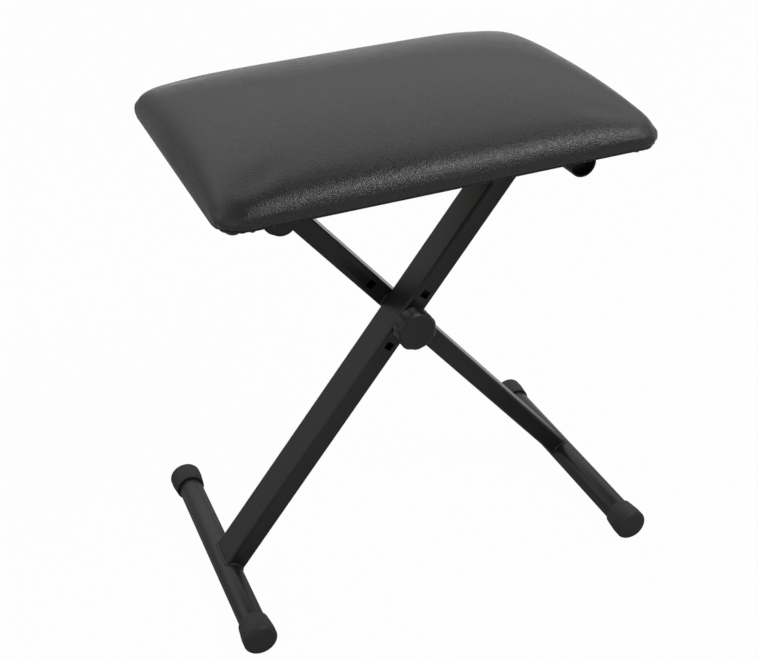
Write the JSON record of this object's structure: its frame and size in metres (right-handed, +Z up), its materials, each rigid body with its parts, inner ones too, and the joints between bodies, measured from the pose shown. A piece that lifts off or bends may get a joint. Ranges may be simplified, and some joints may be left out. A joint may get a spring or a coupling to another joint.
{
  "type": "folding keyboard bench",
  "caption": "Folding bench: padded seat on two crossed tube legs, one bolt with a knob, round feet with end caps.",
  "frame": {"origin": "on the floor, below the middle of the seat and of the crossing bolt", "axes": "+X along the seat's long side, +Y to the back, +Z up"},
  "size_m": [0.4324, 0.314, 0.4915],
  "materials": {
    "black_powder_coat": "satin",
    "cap_rubber": "matte",
    "black_plastic": "satin",
    "zinc_steel": "satin",
    "nylon": "satin",
    "brass": "satin",
    "plywood": "matte",
    "foam": "matte",
    "black_vinyl": "satin"
  },
  "bodies": {
    "rear_leg": {"rear_leg_tube": "black_powder_coat", "rear_foot_tube": "black_powder_coat", "rear_cross_tube": "black_powder_coat", "rear_foot_cap_front": "cap_rubber", "rear_foot_cap_back": "cap_rubber", "rear_tube_plug_front": "black_plastic", "rear_tube_plug_back": "black_plastic", "leg_spacer": "nylon"},
    "front_leg": {"front_leg_tube": "black_powder_coat", "front_foot_tube": "black_powder_coat", "front_cross_tube": "black_powder_coat", "front_foot_cap_front": "cap_rubber", "front_foot_cap_back": "cap_rubber", "front_tube_plug_front": "black_plastic", "front_tube_plug_back": "black_plastic", "knob_washer": "zinc_steel"},
    "seat": {"seat_board": "plywood", "seat_foam": "foam", "seat_cover": "black_vinyl", "pivot_saddle_front": "black_powder_coat", "pivot_saddle_back": "black_powder_coat", "hook_saddle_front": "black_powder_coat", "hook_saddle_back": "black_powder_coat", "pivot_pad_front": "nylon", "pivot_pad_back": "nylon", "hook_pad_front": "nylon", "hook_pad_back": "nylon", "saddle_screws": "zinc_steel"},
    "bolt": {"pivot_bolt": "zinc_steel"},
    "knob": {"knob_grip": "black_plastic", "knob_insert": "brass", "knob_face": "black_plastic"}
  },
  "joints": [
    {"name": "leg_scissor", "type": "hinge", "parent": "rear_leg", "child": "front_leg", "pos_m": [0, 0, 0.25839], "axis": [0, -1, 0], "range_deg": [0, 68]},
    {"name": "seat_tilt", "type": "hinge", "parent": "rear_leg", "child": "seat", "pos_m": [-0.13612, 0, 0.42352], "axis": [0, -1, 0], "range_deg": [0, 129.2]},
    {"name": "bolt_draw", "type": "slide", "parent": "rear_leg", "child": "bolt", "axis": [0, 1, 0], "range_m": [0, 0.1]},
    {"name": "knob_turn", "type": "hinge", "parent": "front_leg", "child": "knob", "pos_m": [0, 0, 0.25839], "axis": [0, -1, 0], "continuous": true}
  ],
  "couplings": [
    {"joint": "seat_tilt", "follows": "leg_scissor", "ratio": 1.9}
  ]
}
